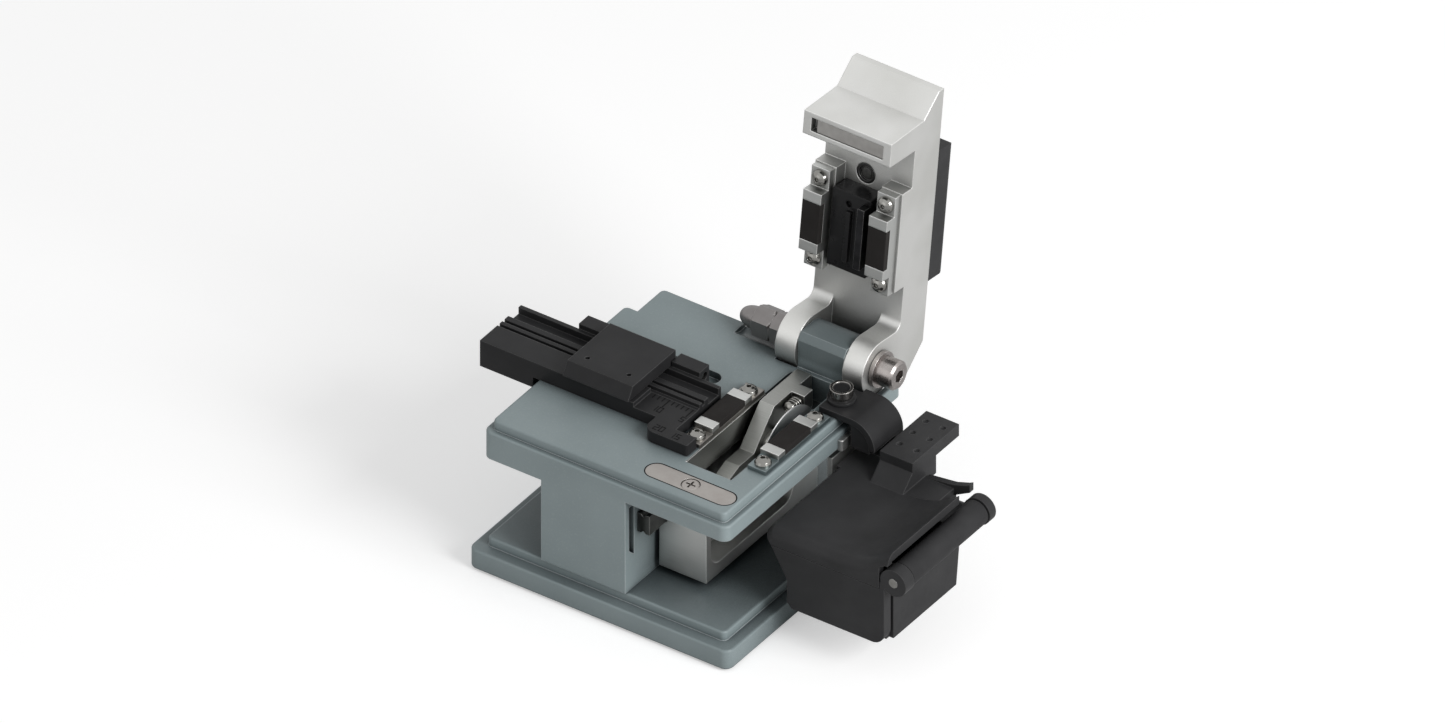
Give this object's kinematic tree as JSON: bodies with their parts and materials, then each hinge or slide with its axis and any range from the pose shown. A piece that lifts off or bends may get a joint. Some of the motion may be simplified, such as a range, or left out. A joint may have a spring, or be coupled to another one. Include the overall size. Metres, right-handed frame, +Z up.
{
  "type": "fibre cleaver",
  "caption": "Bench cleaver for optical fibre: stepped base, fibre holder, sliding round blade, hinged clamping lid and a side bin with a roller.",
  "frame": {"origin": "centre of the base plate's footprint, on the underside of the rubber sheet that it stands on", "axes": "+X to the right along the fibre, +Y to the back where the lid is hinged, +Z up"},
  "size_m": [0.093, 0.0741, 0.0822],
  "materials": {
    "painted_body": "satin grey-blue paint",
    "satin_aluminium": "satin",
    "milled_aluminium": "milled and bead blasted",
    "black_anodised": "black anodised",
    "black_plastic": "fine matt texture",
    "steel": "polished",
    "blade_steel": "ground and polished",
    "brass": "plain",
    "nut_steel": "satin",
    "strike_steel": "satin, warm grey",
    "magnet": "ground, grey",
    "rubber": "matt",
    "roller_rubber": "matt",
    "anvil_steel": "blackened"
  },
  "bodies": {
    "base": {"base_plate": "painted_body", "base_pad": "rubber", "base_screws": "steel", "body_frame": "painted_body", "guide_rail": "steel", "rail_screws": "steel", "left_clamp_base": "milled_aluminium", "left_clamp_pad": "rubber", "right_clamp_base": "milled_aluminium", "right_clamp_pad": "rubber", "clamp_screws": "steel", "strike_plate": "strike_steel", "strike_screw": "strike_steel", "holder_bar": "black_anodised", "holder_pin": "steel", "hinge_bolt": "steel", "hinge_washer": "steel", "brass_washer": "brass", "hinge_nut": "nut_steel", "acorn_nut": "nut_steel", "bin_box": "black_plastic", "roller_axle": "steel", "bin_pin": "steel", "bin_bracket": "black_anodised", "strap_screw": "steel", "deck_catch": "satin_aluminium"},
    "lid": {"lid_arm": "satin_aluminium", "lid_magnet": "magnet", "lid_button": "black_plastic", "left_upper_clamp": "milled_aluminium", "left_upper_pad": "rubber", "right_upper_clamp": "milled_aluminium", "right_upper_pad": "rubber", "upper_clamp_screws": "steel", "anvil_carrier": "black_anodised", "anvil": "anvil_steel", "rear_housing": "black_plastic"},
    "carriage": {"carriage_block": "milled_aluminium", "guide_block": "steel", "blade_bracket": "milled_aluminium", "blade_hub": "steel", "blade_screw": "steel", "adjuster_screw": "steel", "adjuster_spring": "steel"},
    "blade": {"blade": "blade_steel"},
    "holder_cover": {"holder_lid": "black_anodised", "presser_pad": "rubber"},
    "roller": {"roller": "roller_rubber"},
    "bin_cover": {"bin_cover": "black_plastic"},
    "thumb_screw": {"thumb_screw": "black_anodised"}
  },
  "joints": [
    {"name": "lid_hinge", "type": "hinge", "parent": "base", "child": "lid", "pos_m": [0.0151, 0.02195, 0.0338], "axis": [1, 0, 0], "range_deg": [0, 97.4]},
    {"name": "carriage_slide", "type": "slide", "parent": "base", "child": "carriage", "axis": [0, -1, 0], "range_m": [0, 0.011]},
    {"name": "blade_turn", "type": "hinge", "parent": "carriage", "child": "blade", "pos_m": [0.018, 0.00335, 0.02465], "axis": [1, 0, 0], "continuous": true},
    {"name": "holder_lid_hinge", "type": "hinge", "parent": "base", "child": "holder_cover", "pos_m": [-0.0123, 0.00285, 0.0337], "axis": [-1, 0, 0], "range_deg": [0, 100]},
    {"name": "roller_spin", "type": "hinge", "parent": "base", "child": "roller", "pos_m": [0.0533, -0.00195, 0.0222], "axis": [0, 1, 0], "continuous": true},
    {"name": "bin_cover_hinge", "type": "hinge", "parent": "base", "child": "bin_cover", "pos_m": [0.0388, 0.01165, 0.0196], "axis": [-1, 0, 0], "range_deg": [0, 30]},
    {"name": "thumb_screw_turn", "type": "hinge", "parent": "base", "child": "thumb_screw", "pos_m": [0.023, 0.01245, 0.0323], "axis": [0, 0, 1], "continuous": true}
  ]
}
